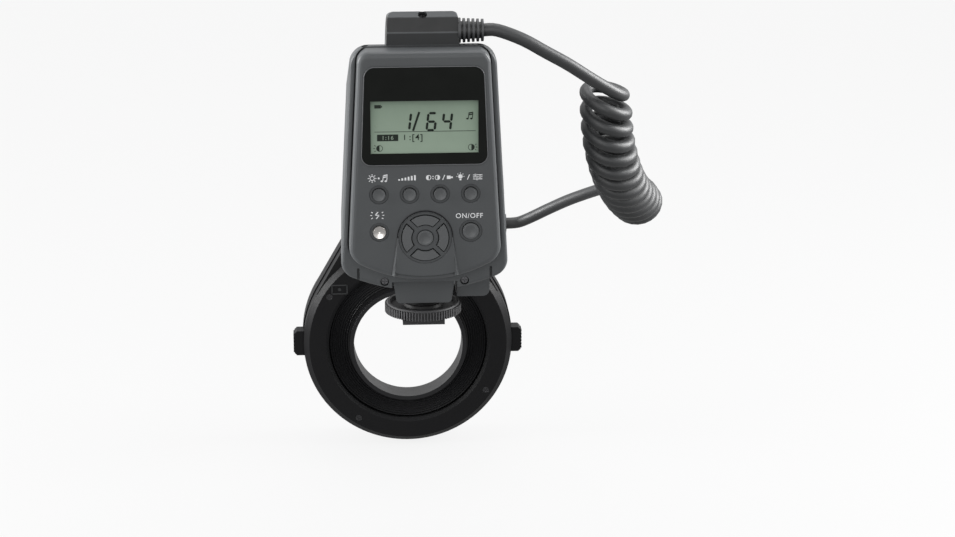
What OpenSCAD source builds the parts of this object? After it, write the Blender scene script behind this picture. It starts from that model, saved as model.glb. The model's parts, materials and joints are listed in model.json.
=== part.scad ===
// Macro ring flash: a shoe-mounted control unit, a ring head on its lens adapter, and their curly cord.
// Millimetres. Origin: centre of the shoe foot's sole. +Z up, the display faces -Y, the ring head is at +Y.

/* [Control unit case] */
// Width of the case at its lower edge
body_w = 73.5; // [70:0.5:78]
// Width of the case at its upper edge
body_top_w = 62; // [58:0.5:66]
// Height of the case
body_h = 104; // [102:0.5:112]
// Height of the case's lower edge above the shoe sole
body_z = 24; // [22:0.5:26]
// Depth of the front case, from the rear cover to the nose
case_d = 45; // [43:0.5:56]
// Depth of the rear cover
cover_d = 11; // [10:0.5:14]
// Distance of the control panel behind the shoe's centre
panel_back = 30; // [28:0.5:34]
// Wall of the case shells
wall = 2.6; // [2.2:0.1:3]
// Ledge of the front case beside the rear cover
rim = 3; // [2.6:0.1:3.6]
// Height of the case's chin below the rear cover
chin = 2.9; // [2.6:0.1:4]
// Height of the case's brow above the rear cover
brow = 0.4; // [0.2:0.1:0.5]
// Height of the lip that stands round the rear cover
lip_h = 3; // [2:0.1:4]
// Width of the groove between the lip and the rear cover
groove_w = 0.6; // [0.6:0.1:1]
// Rounding of the lip's outer edge
lip_round = 1.6; // [1:0.1:2]
// Rounding of the rear cover's edge
cover_round = 2.4; // [1:0.1:2.6]
// Drop of the roof from the cover to the nose
roof_drop = 15; // [12:0.5:20]
// Radius of the case's lower corners
corner_low = 8; // [7:0.5:10]
// Radius that the rear cover's lower corners shrink from
cover_corner = 12; // [9:0.5:14]
// Radius of the case's upper corners
corner_top = 8; // [6:0.5:10]
// Radius of the belly curve along the case's lower edge
belly_r = 81; // [76:1:100]
// Depth of the belly's middle below the case's floor
belly_sag = 4.4; // [3.6:0.2:5]
// Radius of the curve along the rear cover's lower edge
cover_belly_r = 62; // [58:1:90]

/* [Display and keys] */
// Width of the window's lower edge
window_w = 53.6; // [50:0.2:55]
// Width of the window's upper edge
window_top_w = 50; // [46:0.2:52]
// Height of the window
window_h = 42; // [38:0.5:44]
// Gap between the window and the case's upper edge
window_top_gap = 7; // [6:0.5:9]
// Width of the liquid crystal display
lcd_w = 46; // [40:0.5:47]
// Height of the liquid crystal display
lcd_h = 23; // [18:0.5:25]
// Spacing of the four function keys
key_pitch = 13.1; // [11:0.1:14]
// Height of the function keys above the shoe sole
key_z = 65.7; // [63:0.1:68]
// Radius of a function key
key_r = 2.7; // [2.2:0.1:3.2]
// Radius of the power key
power_r = 3.5; // [3:0.1:4]
// Height of the pilot and power keys above the shoe sole
power_z = 49; // [47:0.1:51]
// Height of the direction pad's centre above the shoe sole
pad_z = 46.4; // [45:0.1:49]
// Outer radius of the direction keys
pad_r = 10; // [9:0.1:10.5]
// Inner radius of the direction keys
pad_in_r = 6; // [5.4:0.1:6.6]
// Radius of the centre key
set_r = 3.4; // [2.8:0.1:4]
// Width of the spokes between the direction keys
spoke_w = 2.6; // [2:0.1:3.2]
// How far a key moves when pressed
key_travel = 0.5; // [0.3:0.05:0.6]
// How far a key stands out of the panel
key_proud = 0.6; // [0.4:0.05:0.9]

/* [Batteries and door] */
// Diameter of a cell
cell_d = 14.3; // [13.8:0.1:14.5]
// Length of a cell
cell_l = 50.2; // [49.5:0.1:50.5]
// Length of the battery door along the case
door_l = 26; // [24:0.5:27]
// Height of the battery door
door_h = 54; // [50:0.5:56]
// Radius of the hinge pin
hinge_r = 0.7; // [0.5:0.05:0.8]

/* [Shoe foot and lock] */
// Width of the foot plate
foot_w = 18.6; // [18.3:0.05:18.7]
// Length of the foot plate
foot_l = 18; // [17:0.5:19]
// Thickness of the foot plate
foot_t = 2; // [1.8:0.05:2.1]
// Radius of the threaded post
post_r = 7; // [6:0.1:7.5]
// Radius of the lock wheel
wheel_r = 17; // [16:0.1:18]
// Thickness of the lock wheel
wheel_t = 4.4; // [4:0.1:5]
// Height of the shoe rails that the lock grips
rail_h = 1.3; // [1.1:0.05:1.5]
// Travel of the lock along the post
lock_travel = 1.6; // [1:0.1:1.8]
// Width of the pedestal at its top
pedestal_w = 28.4; // [26:0.2:30]
// Width of the pedestal at its bottom
pedestal_low_w = 24; // [23:0.2:26]
// Depth of the pedestal
pedestal_d = 25; // [22:0.5:26]

/* [Cord outlet] */
// Width of the outlet cover
outlet_w = 30; // [28:0.5:34]
// Depth of the outlet cover
outlet_d = 22; // [21:0.5:24]
// Height of the outlet cover above the case
outlet_h = 14; // [13:0.5:15]
// Diameter of the cord
cord_d = 5.6; // [5:0.1:6]
// Outer diameter of the curly part of the cord
coil_d = 24; // [22:0.5:26]
// Outer radius of the strain reliefs
relief_r = 5.4; // [5:0.1:5.6]
// Length of the upper strain relief
relief_l = 11; // [10:0.5:12]
// Length of the lower strain relief
low_relief_l = 15; // [14:0.5:16]

/* [Ring head] */
// Outer radius of the ring head
ring_r = 52.5; // [52:0.1:54]
// Radius of the opening through the ring head
bore_r = 39.3; // [38.5:0.1:39.8]
// Depth of the ring head
ring_d = 26; // [25:0.5:28]
// Depth of the ring's front case
ring_front_d = 14; // [13.5:0.5:14.5]
// Height of the cord housing above the ring's axis
hood_h = 71; // [69:0.5:73]
// Angle at which the cord housing's flanks leave the ring
hood_a = 30; // [26:0.5:34]
// Drop of the ring's axis below the shoe sole
axis_drop = 52; // [50:0.5:56]
// Distance of the ring's rear face in front of the shoe's centre
ring_ahead = 118; // [116:0.5:121]
// Sideways shift of the ring's axis
ring_shift = -3; // [-6:0.5:0]
// Half angle of each flash window
flash_half = 66; // [60:1:70]
// Radius of a flash tube
tube_r = 2.2; // [1.8:0.1:2.4]
// Travel of the release sliders
release_travel = 2; // [1.4:0.1:2]
// Radius of the adapter's lens thread
thread_r = 29; // [26:0.5:33]
// Length of the adapter's lens thread
thread_l = 4.5; // [3:0.5:5]

/* [Fits] */
// Gap round each moving key
key_gap = 0.2; // [0.15:0.05:0.3]
// Gap round the direction keys
pad_gap = 0.35; // [0.2:0.05:0.4]
// Radial gap of turning fits
turn_gap = 0.06; // [0.03:0.01:0.1]
// Gap round the battery door
door_gap = 0.3; // [0.2:0.05:0.4]
// Gap round pieces that slide
slide_gap = 0.3; // [0.2:0.05:0.4]

/* [Hidden] */
$fn = 64;

// Colours
grey_plastic = [0.30, 0.31, 0.32];
dark_plastic = [0.12, 0.12, 0.13];
black_gloss = [0.03, 0.03, 0.035];
lcd_green = [0.52, 0.59, 0.52];
board_green = [0.10, 0.32, 0.18];
steel = [0.72, 0.72, 0.74];
brass = [0.80, 0.65, 0.30];
cord_grey = [0.17, 0.17, 0.18];

// Places worked out from the sizes above
panel_y = -panel_back;
split_y = panel_y + cover_d;
nose_y = split_y + case_d;
body_top = body_z + body_h;
taper = atan((body_w - body_top_w) / 2 / body_h);
chin_y = split_y - lip_h;
collar_d = 4;
nose_d = 3;
nose_lift = 2;
floor_r = 600;
nose_round = 4;
arc_steps = 8;
layer_t = 0.05;
cord_hole_x = 6;
panel_t = 1.6;
cover_wall = 2;
tongue_h = 0.8;
pad_dish = 0.25;
window_z = body_top - window_top_gap - window_h;
window_t = 1.2;
window_proud = 0.4;
lcd_z = window_z + 4.7;
board_t = 1.6;
board_y = panel_y + 5;
flange_t = 0.8;
flange_w = 0.8;
flange_bed = 0.02;
switch_t = board_y - panel_y - panel_t - flange_t - key_travel - 0.1;
key_x = [for (i = [0:3]) (i - 1.5) * key_pitch];
dish_w = 1.45;
dish_d = 0.35;
screw_x = pedestal_w / 2 + 3.2;
screw_z = body_z + 0.2;
screw_r = 0.9;
screw_l = 4;
screw_sink = 2.2;
screw_head_r = 1.5;
screw_head_t = 1.2;
slit_x = body_w / 2 - 7.9;
slit_w = 1;
slit_h = 8;
slit_z = body_z - 1.5;
slit_d = 1.4;
dimple_x = body_top_w / 2 - 6.5;
dimple_r = 1.6;
clamp_t = 0.6;
clamp_z = foot_t + rail_h + 0.05;
wheel_z = clamp_z + clamp_t + 0.05;
pedestal_z = wheel_z + wheel_t + lock_travel + 1.25;
pin_r = 1.1;
pin_y = 4;
contact_r = 0.9;
door_t = wall;
door_z = cover_corner;
door_y = split_y + 9;
hinge_y = door_y + door_l;
hinge_x = -door_t / 2;
cell_gap = 0.25;
holder_wall = 1.2;
holder_gap = 0.918;
holder_w = 2 * (cell_d + 2 * cell_gap) + holder_wall;
holder_y = door_y - 2;
holder_d = holder_w + holder_wall;
holder_z = body_z + cover_corner - 0.9;
holder_h = cell_l + 2 * holder_wall + 2;
holder_x = body_w / 2 - (holder_z + holder_h - body_z) * tan(taper) - wall - holder_gap - holder_w;
cap_r = 13;
cap_l = 48;
cap_z = body_z + wall + 5.6;
outlet_y = split_y;
outlet_flare = 1;
outlet_fall = 5.6;
crease = 5.7;
outlet_bevel = 2;
outlet_lean = 1.8;
outlet_top = body_top + outlet_h;
bevel_run = 1.3 * outlet_bevel;
outlet_screw_r = 1.9;
outlet_screw_sink = 3.4;
relief_z = body_top + relief_r + 0.1;
relief_y = outlet_y + 5;
relief_flange = 1.2;
neck_r = 3.1;
ring_front_y = ring_ahead + ring_d;
shell_in = bore_r + 2;
shell_out = ring_r - 1.8;
window_in = shell_in + 0.7;
window_out = shell_out - 0.4;
tube_mid = (window_in + window_out) / 2;
front_skin = 1.6;
reflector_z = front_skin + 0.6;
tube_z = reflector_z + 3;
slider_z = ring_front_d + 3;
slider_t = 1.6;
slider_in = shell_in + 2.4;
slider_out = slider_in + 2.6;
stem_end = slider_out - 0.1;
screw_ring_r = tube_mid;
screw_turn = 57;
claw_reach = 1;
button_w = 12.6;
button_out = 4;
adapter_z = ring_front_d + 0.1;
adapter_t = ring_d - 3 - adapter_z;
hood_y = 60;
hood_corner = 5;
hood_half = (ring_r - hood_corner - (hood_h - hood_corner) * sin(hood_a)) / cos(hood_a);
hood_back = 3;
rim_step = 0.6;
low_relief_x = 34;

// Cord routes, chosen by hand
upper_route = [[26, -14, 133.5], [32, -14, 133.3], [43, -13.5, 129], [54, -12, 122.5], [65, -9.5, 116],
  [74, -7, 109.5], [83, -4.5, 104]];
coil_axis = [[81, 4, 103], [81.5, 6, 92], [83, 10, 80], [86, 17, 68], [90, 27, 57], [95, 40, 47],
  [100.5, 54, 39], [104, 64, 35]];
lower_route = [[101, 68, 43], [95, 77, 40], [89, 87, 35], [83, 97, 30], [75, 107, 24], [66.5, 115.5, 17.5],
  [58, 121.5, 11.5], [52, 124, 8.4], [46, 124, 8]];

// Helpers

// A trapezoid with round corners, standing on the x axis
module round_trapezoid(low, top, high, r_low, r_top) {
  lean = atan((low - top) / 2 / high);
  x_low = low / 2 - r_low * (1 + sin(lean)) / cos(lean);
  x_top = top / 2 - r_top * (1 - sin(lean)) / cos(lean);
  n = [cos(lean), sin(lean)];
  right = [[x_low, 0], [x_low, r_low] + r_low * n, [x_top, high - r_top] + r_top * n, [x_top, high]];
  polygon([for (p = right) p, for (i = [3:-1:0]) [-right[i][0], right[i][1]]]);
  for (s = [-1, 1]) {
    translate([s * x_low, r_low]) circle(r_low);
    translate([s * x_top, high - r_top]) circle(r_top);
  }
}

// A flat outline drawn in x and z, given a depth along y
module plate(y, d) {
  translate([0, y + d, 0]) rotate([90, 0, 0]) linear_extrude(d) children();
}

// Local z points out of the control panel, local y is up
module on_panel(x, z) {
  translate([x, panel_y, z]) rotate([90, 0, 0]) children();
}

// Local x points out of the case's right side wall, which leans in by the taper
module on_side() {
  translate([body_w / 2, 0, body_z]) rotate([0, -taper, 0]) children();
}

// Local z runs from the ring's front face to its rear face, local y is up
module on_ring() {
  translate([ring_shift, ring_front_y, -axis_drop]) rotate([90, 0, 0]) children();
}

function outward(a) = [sin(a), -cos(a)];

// Right half of the case's outline from the belly's middle to the roof: three arcs that run into each other
function half_outline(inset, drop, lift, extra, belly, low_r) = let(
    n = [cos(taper), sin(taper)], hub = [0, body_z + lift + belly], reach = n * [body_w / 2, body_z] - inset,
    r_low = max(2, low_r + extra - inset), r_top = max(2, corner_top + extra - inset),
    swing = belly - inset - r_low, turn = taper + asin((reach - r_low - n * hub) / swing),
    low = hub + swing * outward(turn), z_top = body_top - drop - inset - r_top,
    top = [(reach - r_top - z_top * sin(taper)) / cos(taper), z_top])
  [for (i = [0:arc_steps]) hub + (belly - inset) * outward(turn * i / arc_steps),
    for (i = [1:arc_steps]) low + r_low * outward(turn + (90 + taper - turn) * i / arc_steps),
    for (i = [0:arc_steps]) top + r_top * outward(90 + taper + (90 - taper) * i / arc_steps)];

// Outline of the case drawn in x and z, shrunk by inset
module case_outline(inset = 0, drop = 0, lift = 0, extra = 0, belly = floor_r, low_r = corner_low) {
  right = half_outline(inset, drop, lift, extra, belly, low_r);
  polygon([each right, for (i = [len(right) - 1:-1:1]) [-right[i][0], right[i][1]]]);
}

// Outline of the rear cover, shrunk by g
module cover_outline(g = 0) {
  case_outline(rim + g, brow - rim, chin - rim, 0, cover_belly_r, cover_corner);
}

// The case's form: a collar with a rounded lip behind, then a nose with a falling roof
module case_form(inset = 0, back = -lip_h, edge = lip_round, sag = belly_sag, belly = belly_r) {
  start = split_y + back;
  hull() {
    if (edge > 0) for (a = [30:30:90])
      plate(start + edge * (1 - sin(a)), layer_t)
        case_outline(inset + edge * (1 - cos(a)), 0, -sag, 0, belly);
    plate(start + edge, collar_d - back - edge) case_outline(inset, 0, -sag, 0, belly);
    plate(nose_y - nose_d - inset, nose_d)
      case_outline(inset, roof_drop, nose_lift, nose_round, floor_r, cover_corner);
  }
}

// The case's form with the channel that the pedestal sits in
module case_body() {
  difference() {
    case_form();
    plate(chin_y - 1, case_d + lip_h) translate([-pedestal_w / 2, body_z - 2 * belly_sag])
      square([pedestal_w, 2 * belly_sag]);
  }
}

function unit(v) = v / norm(v);
function way(p, i) = unit(p[min(i + 1, len(p) - 1)] - p[max(i - 1, 0)]);

// A point of a smooth curve through the route's points, i whole steps plus t
function along(p, i, t) = let(
    a = p[max(i - 1, 0)], b = p[i], c = p[i + 1], d = p[min(i + 2, len(p) - 1)])
  0.5 * (2 * b + (c - a) * t + (2 * a - 5 * b + 4 * c - d) * t * t + (3 * b - a - 3 * c + d) * t * t * t);
function smooth(p, n) = [for (i = [0:len(p) - 2], k = [0:n - 1]) along(p, i, k / n), p[len(p) - 1]];

// A closed tube swept along a route
module swept_tube(route, r, sides) {
  n = len(route);
  rings = [for (i = [0:n - 1]) let(
      t = way(route, i), u = unit(cross(t, [0.2, 1, 0.1])), v = cross(t, u))
    for (k = [0:sides - 1]) route[i] + r * (cos(360 * k / sides) * u + sin(360 * k / sides) * v)];
  walls = [for (i = [0:n - 2], k = [0:sides - 1]) each let(m = (k + 1) % sides, a = i * sides, b = a + sides)
    [[a + k, b + k, b + m], [a + k, b + m, a + m]]];
  polyhedron(rings, concat([[for (k = [0:sides - 1]) k]], walls,
    [[for (k = [sides - 1:-1:0]) (n - 1) * sides + k]]));
}

// An arc-shaped bar: a rectangle r0 to r1 by z0 to z1 turned from angle a0 to a1
module arc_bar(r0, r1, z0, z1, a0, a1) {
  rotate([0, 0, a0]) rotate_extrude(angle = a1 - a0, $fn = 128)
    translate([r0, z0]) square([r1 - r0, z1 - z0]);
}

// Control unit case

module door_cut() {
  on_side() {
    translate([-3 * door_t, door_y - door_gap, door_z - door_gap])
      cube([4 * door_t, door_l + door_gap, door_h + 2 * door_gap]);
    translate([hinge_x, hinge_y, door_z - door_gap]) {
      cylinder(door_h + 2 * door_gap, r = door_t / 2 + door_gap);
      cube([2 * door_t, door_t / 2 + door_gap, door_h + 2 * door_gap]);
    }
    translate([hinge_x, hinge_y, door_z - 3]) cylinder(door_h + 6, r = hinge_r);
  }
}

// Opening in the ledge that the rear cover sits on
module case_mouth() {
  low = body_z + cover_corner + 4;
  top = body_top - brow - 2 * wall;
  half_low = body_w / 2 - (low - body_z) * tan(taper) - rim - wall;
  half_top = body_w / 2 - (top - body_z) * tan(taper) - rim - wall;
  polygon([[-half_low, low], [half_low, low], [half_top, top], [-half_top, top]]);
}

// A step under the case, beside the lock wheel
module under_step() {
  step_w = 14.6;
  step_d = 22;
  corner = 3;
  plate(-2, step_d) translate([pedestal_w / 2 + 0.8, pedestal_z - 0.6]) {
    translate([0, corner]) square([step_w, body_z - pedestal_z + 2 * corner]);
    square([step_w - corner, corner + 1]);
    translate([step_w - corner, corner]) circle(corner);
  }
}

module front_case() {
  color(grey_plastic) difference() {
    union() {
      case_body();
      under_step();
    }
    case_form(wall, wall, 0, 0, floor_r);
    plate(chin_y - 1, lip_h + 1) cover_outline(-groove_w);
    plate(split_y - 1, wall + 2) case_mouth();
    door_cut();
    for (s = [-1, 1]) {
      translate([s * screw_x, chin_y, screw_z]) rotate([-90, 0, 0]) {
        translate([0, 0, -1]) cylinder(1 + screw_sink, r = screw_head_r + 0.4);
        cylinder(screw_sink + screw_l + 1, r = screw_r + 0.05);
      }
      plate(chin_y - 1, 1 + slit_d) translate([s * slit_x - slit_w / 2, slit_z]) square([slit_w, slit_h]);
      translate([s * dimple_x, split_y + collar_d / 2, body_top]) cylinder(2, r = dimple_r, center = true);
    }
    translate([-cord_hole_x, relief_y, body_top - 10]) cylinder(20, r = cord_d / 2 + 0.5);
  }
}

// The raised tongue round the direction pad, which widens down to the cover's edge
module pad_tongue() {
  low = pad_r + 3.6;
  top = pad_r + 1.6;
  translate([0, pad_z]) circle(top);
  polygon([[-top, pad_z], [top, pad_z], [low, body_z + chin], [-low, body_z + chin]]);
}

module key_hole(x, z, r) {
  on_panel(x, z) {
    translate([0, 0, -panel_t - 1]) cylinder(panel_t + 3, r = r + key_gap);
    translate([0, 0, -dish_d]) cylinder(dish_d + 1, r = r + dish_w);
  }
}

// One direction key drawn flat, pointing up, grown by g
module pad_key_outline(g = 0) {
  difference() {
    intersection() {
      circle(pad_r + g);
      rotate(45) translate([spoke_w / 2 - g, spoke_w / 2 - g]) square(2 * pad_r);
    }
    circle(pad_in_r - g);
  }
}

module rear_cover() {
  color(grey_plastic) difference() {
    union() {
      hull() {
        for (a = [22.5:22.5:90])
          plate(panel_y + cover_round * (1 - sin(a)), layer_t) cover_outline(cover_round * (1 - cos(a)));
        plate(panel_y + cover_round, cover_d - cover_round) cover_outline();
      }
      intersection() {
        plate(panel_y - tongue_h, 1) pad_tongue();
        plate(panel_y - tongue_h, 1) cover_outline(cover_round);
      }
    }
    plate(panel_y + panel_t, cover_d) cover_outline(cover_wall);
    plate(panel_y - 1, 1 + window_t - window_proud) window_outline(0.05);
    plate(panel_y - 1, panel_t + 2) lcd_outline(0.6);
    for (x = key_x) key_hole(x, key_z, key_r);
    key_hole(key_x[0], power_z, key_r);
    key_hole(key_x[3], power_z, power_r);
    on_panel(0, pad_z) {
      translate([0, 0, tongue_h - pad_dish]) cylinder(1, r = pad_r + dish_w);
      translate([0, 0, -panel_t - 1]) cylinder(panel_t + 3, r = set_r + key_gap);
      for (a = [0:90:270]) rotate(a) translate([0, 0, -panel_t - 1])
        linear_extrude(panel_t + 3) pad_key_outline(pad_gap);
    }
  }
}

module lcd_outline(g = 0) {
  translate([-lcd_w / 2 - g, lcd_z - g]) square([lcd_w + 2 * g, lcd_h + 2 * g]);
}

module window_outline(g = 0) {
  corner = 4;
  translate([0, window_z - g])
    round_trapezoid(window_w + 2 * g, window_top_w + 2 * g, window_h + 2 * g, corner, corner);
}

module display_window() {
  color(black_gloss) difference() {
    plate(panel_y - window_proud, window_t) window_outline();
    plate(panel_y - 2, 4) lcd_outline();
  }
}

module lcd_panel() {
  color(lcd_green) {
    plate(panel_y + 0.1, board_y - panel_y - 0.1) lcd_outline(-0.1);
    plate(panel_y + panel_t + 0.3, board_y - panel_y - panel_t - 0.3) lcd_outline(1.5);
  }
}

module main_board() {
  color(board_green) plate(board_y, board_t) difference() {
    cover_outline(cover_wall + 0.3);
    for (s = [-1, 1]) translate([s * 20, body_z + chin + 10]) circle(1.5);
  }
}

module key_switches() {
  size = 3.2;
  pad_mid = (pad_r + pad_in_r) / 2;
  spots = concat([for (x = key_x) [x, key_z]], [[key_x[0], power_z], [key_x[3], power_z], [0, pad_z]],
    [for (a = [0:90:270]) [pad_mid * cos(a), pad_z + pad_mid * sin(a)]]);
  color(dark_plastic) plate(board_y - switch_t, switch_t)
    for (p = spots) translate(p) square(size, center = true);
}

module flash_capacitor() {
  lead_l = 3;
  color(dark_plastic) translate([holder_x - cap_r - slide_gap, holder_y + cap_r + 1, cap_z]) {
    cylinder(cap_l, r = cap_r);
    for (s = [-1, 1]) translate([s * cap_r / 2, 0, cap_l]) cylinder(lead_l, r = 0.6);
  }
}

module battery_holder() {
  color(dark_plastic) difference() {
    translate([holder_x, holder_y, holder_z]) cube([holder_w, holder_d, holder_h]);
    translate([holder_x + holder_wall, holder_y + holder_wall, holder_z + holder_wall])
      cube([holder_w, holder_d - 2 * holder_wall, holder_h - 2 * holder_wall]);
  }
}

module each_cell() {
  for (i = [0, 1], j = [0, 1])
    translate([holder_x + holder_wall + (i + 0.5) * (cell_d + 2 * cell_gap) - cell_gap * i,
      holder_y + holder_wall + (j + 0.5) * (cell_d + 2 * cell_gap), holder_z + holder_wall]) children();
}

module battery_contacts() {
  color(brass) each_cell() {
    cylinder(0.6, r = 4);
    translate([0, 0, holder_h - 2 * holder_wall - 0.6]) cylinder(0.6, r = 4);
  }
}

module battery_cells() {
  color(steel) each_cell() translate([0, 0, 0.7]) {
    cylinder(cell_l - 1, r = cell_d / 2);
    cylinder(cell_l, r = 2.6);
  }
}

module battery_door() {
  pocket_l = 13;
  color(grey_plastic) difference() {
    on_side() union() {
      translate([-door_t, door_y, door_z]) cube([door_t, door_l, door_h]);
      translate([hinge_x, hinge_y, door_z]) cylinder(door_h, r = door_t / 2);
    }
    on_side() translate([hinge_x, hinge_y, door_z - 1]) cylinder(door_h + 2, r = hinge_r + turn_gap);
    on_side() translate([-1.2, door_y + 2, door_z + door_h / 2 - 5]) cube([2, pocket_l, 10]);
  }
}

module door_hinge_pin() {
  color(steel) on_side() translate([hinge_x, hinge_y, door_z - 3]) cylinder(door_h + 6, r = hinge_r);
}

module door_catch() {
  bed = [-1.2, door_y + 2 + slide_gap, door_z + door_h / 2 - 5 + slide_gap];
  color(dark_plastic) on_side() translate(bed) {
    cube([1.6, 9, 10 - 2 * slide_gap]);
    for (i = [0:4]) translate([1.5, 0.8 + 1.7 * i, 0.5]) cube([0.5, 0.8, 9 - 2 * slide_gap]);
  }
}

// Cord outlet

// Places its children on the floor of the screw hole in the outlet's upper bevel
module on_outlet_bevel() {
  translate([0, outlet_y + outlet_lean + bevel_run / 2, outlet_top - outlet_bevel / 2])
    rotate([atan(outlet_bevel / bevel_run), 0, 0]) translate([0, 0, -outlet_screw_sink]) children();
}

module outlet_cover() {
  base = body_top - 9;
  color(grey_plastic) difference() {
    intersection() {
      translate([-outlet_w, 0, 0]) rotate([90, 0, 90]) linear_extrude(2 * outlet_w) polygon([
        [outlet_y, base], [outlet_y, body_top + crease], [outlet_y + outlet_lean, outlet_top - outlet_bevel],
        [outlet_y + outlet_lean + bevel_run, outlet_top], [outlet_y + outlet_d - 4, outlet_top - outlet_fall],
        [outlet_y + outlet_d, outlet_top - outlet_fall - 3.5], [outlet_y + outlet_d, base]]);
      plate(outlet_y, outlet_d) translate([0, base])
        round_trapezoid(outlet_w + 2 * outlet_flare, outlet_w, outlet_top - base, 1, 3);
    }
    case_form();
    on_outlet_bevel() cylinder(2 * outlet_screw_sink, r = outlet_screw_r + 0.1);
    translate([outlet_w / 2 - 3, relief_y, relief_z]) rotate([0, 90, 0]) {
      cylinder(5, r = neck_r + 0.1);
      translate([0, 0, 3]) cylinder(5, r = relief_r + 0.1);
    }
  }
}

// A flat screw head with a cross slot in its upper face
module screw_head(r, t) {
  slot = 0.28 * r;
  difference() {
    cylinder(t, r = r);
    for (a = [0, 90]) rotate(a) translate([-0.8 * r, -slot / 2, t / 2]) cube([1.6 * r, slot, t]);
  }
}

module outlet_screw() {
  color(steel) on_outlet_bevel() screw_head(outlet_screw_r, 1.6);
}

// A ribbed sleeve along +x that starts at a flange and ends in a lip
module strain_relief(l) {
  ribs = round((l - relief_flange) / 2);
  pitch = (l - relief_flange) / ribs;
  rotate([0, 90, 0]) rotate_extrude() difference() {
    polygon(concat([[0, -2.8], [neck_r, -2.8], [neck_r, 0], [relief_r, 0], [relief_r, relief_flange]],
      [for (i = [0:ribs - 1]) each let(z = relief_flange + pitch * i, r = relief_r - 0.2 - 0.1 * i)
        [[r - 1.3, z], [r - 1.3, z + pitch / 2], [r, z + pitch / 2], [r, z + pitch]]],
      [[0, l]]));
  }
}

module upper_strain_relief() {
  color(dark_plastic) translate([outlet_w / 2, relief_y, relief_z]) strain_relief(relief_l);
}

module case_screws() {
  color(steel) for (s = [-1, 1]) translate([s * screw_x, chin_y + screw_sink, screw_z]) rotate([-90, 0, 0]) {
    mirror([0, 0, 1]) screw_head(screw_head_r, screw_head_t);
    cylinder(screw_l, r = screw_r);
  }
}

// Shoe foot and lock

module foot_pedestal() {
  pedestal_top = body_z + 2;
  color(grey_plastic) difference() {
    plate(-pedestal_d / 2, pedestal_d) translate([0, pedestal_top]) mirror([0, 1])
      round_trapezoid(pedestal_w, pedestal_low_w, pedestal_top - pedestal_z, 0.5, 2);
    case_body();
    translate([0, 0, pedestal_z - 1]) cylinder(4, r = post_r);
  }
}

module shoe_foot() {
  color(dark_plastic) difference() {
    union() {
      translate([-foot_w / 2, -foot_l / 2, 0]) cube([foot_w, foot_l, foot_t]);
      cylinder(pedestal_z + 3, r = post_r);
    }
    translate([0, pin_y, -1]) cylinder(pedestal_z + 2, r = pin_r + turn_gap);
    contact_spots() translate([0, 0, -1]) cylinder(3.5, r = contact_r + 0.1);
  }
}

module contact_spots() {
  for (p = [[0, -1], [-3.2, -4.2], [3.2, -4.2], [-4.6, 0.5], [4.6, 0.5]]) translate(p) children();
}

module shoe_contacts() {
  color(brass) contact_spots() translate([0, 0, -0.5]) cylinder(2.2, r = contact_r);
}

module lock_pin() {
  color(steel) translate([0, pin_y, -1.3]) cylinder(pedestal_z - 0.4, r = pin_r);
}

module clamp_plate() {
  color(steel) difference() {
    translate([-foot_w / 2, -foot_l / 2, clamp_z]) cube([foot_w, foot_l, clamp_t]);
    translate([0, 0, clamp_z - 1]) cylinder(3, r = post_r + turn_gap);
  }
}

module lock_wheel() {
  teeth = 80;
  tooth_w = 0.7;
  color(dark_plastic) translate([0, 0, wheel_z]) {
    rotate_extrude($fn = 128) polygon([[post_r + turn_gap, 0], [wheel_r - 1.6, 0], [wheel_r - 0.6, 0.8],
      [wheel_r - 0.6, wheel_t - 0.8], [wheel_r - 1.2, wheel_t], [wheel_r - 2.2, wheel_t],
      [wheel_r - 3, wheel_t - 1.4], [post_r + 2, wheel_t - 1.4], [post_r + 1.6, wheel_t - 0.2],
      [post_r + turn_gap, wheel_t - 0.2]]);
    linear_extrude(wheel_t - 0.6) difference() {
      for (i = [0:teeth - 1]) rotate(i * 360 / teeth)
        translate([wheel_r - 1.4, -tooth_w / 2]) square([1.4, tooth_w]);
      circle(wheel_r - 1.5);
    }
  }
}

// Keys

module round_key(x, z, r, proud = key_proud) {
  ball = 6;
  dish = 0.6;
  on_panel(x, z) difference() {
    union() {
      translate([0, 0, -panel_t - flange_bed - flange_t]) {
        cylinder(flange_t, r = r + flange_w);
        cylinder(flange_t + flange_bed + panel_t + proud, r = r);
      }
    }
    translate([0, 0, proud + ball - dish]) sphere(ball);
  }
}

module pad_key(a) {
  on_panel(0, pad_z) rotate(a) {
    translate([0, 0, -panel_t - flange_bed - flange_t]) {
      linear_extrude(flange_t) pad_key_outline(flange_w);
      linear_extrude(flange_t + flange_bed + panel_t + key_proud + 0.4) pad_key_outline();
    }
  }
}

module function_key_1() { color(grey_plastic) round_key(key_x[0], key_z, key_r); }
module function_key_2() { color(grey_plastic) round_key(key_x[1], key_z, key_r); }
module function_key_3() { color(grey_plastic) round_key(key_x[2], key_z, key_r); }
module function_key_4() { color(grey_plastic) round_key(key_x[3], key_z, key_r); }
module pilot_key() { color(steel) round_key(key_x[0], power_z, key_r); }
module power_key() { color(grey_plastic) round_key(key_x[3], power_z, power_r, key_proud * 0.5); }
module up_key() { color(grey_plastic) pad_key(0); }
module left_key() { color(grey_plastic) pad_key(90); }
module down_key() { color(grey_plastic) pad_key(180); }
module right_key() { color(grey_plastic) pad_key(270); }
module set_key() { color(grey_plastic) round_key(0, pad_z, set_r, key_proud + 0.3); }

// Ring head

// Outline of the cord housing, shrunk by inset: its flanks run off the ring and meet a round-cornered top
module hood_outline(inset = 0) {
  r = hood_corner - inset;
  n = [cos(hood_a), sin(hood_a)];
  corner = [hood_half, hood_h - hood_corner];
  right = [(ring_r - inset) * n, corner + r * n, corner + [0, r]];
  polygon([each right, for (i = [2:-1:0]) [-right[i][0], right[i][1]]]);
  for (s = [-1, 1]) translate([s * corner[0], corner[1]]) circle(r);
}

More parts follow.
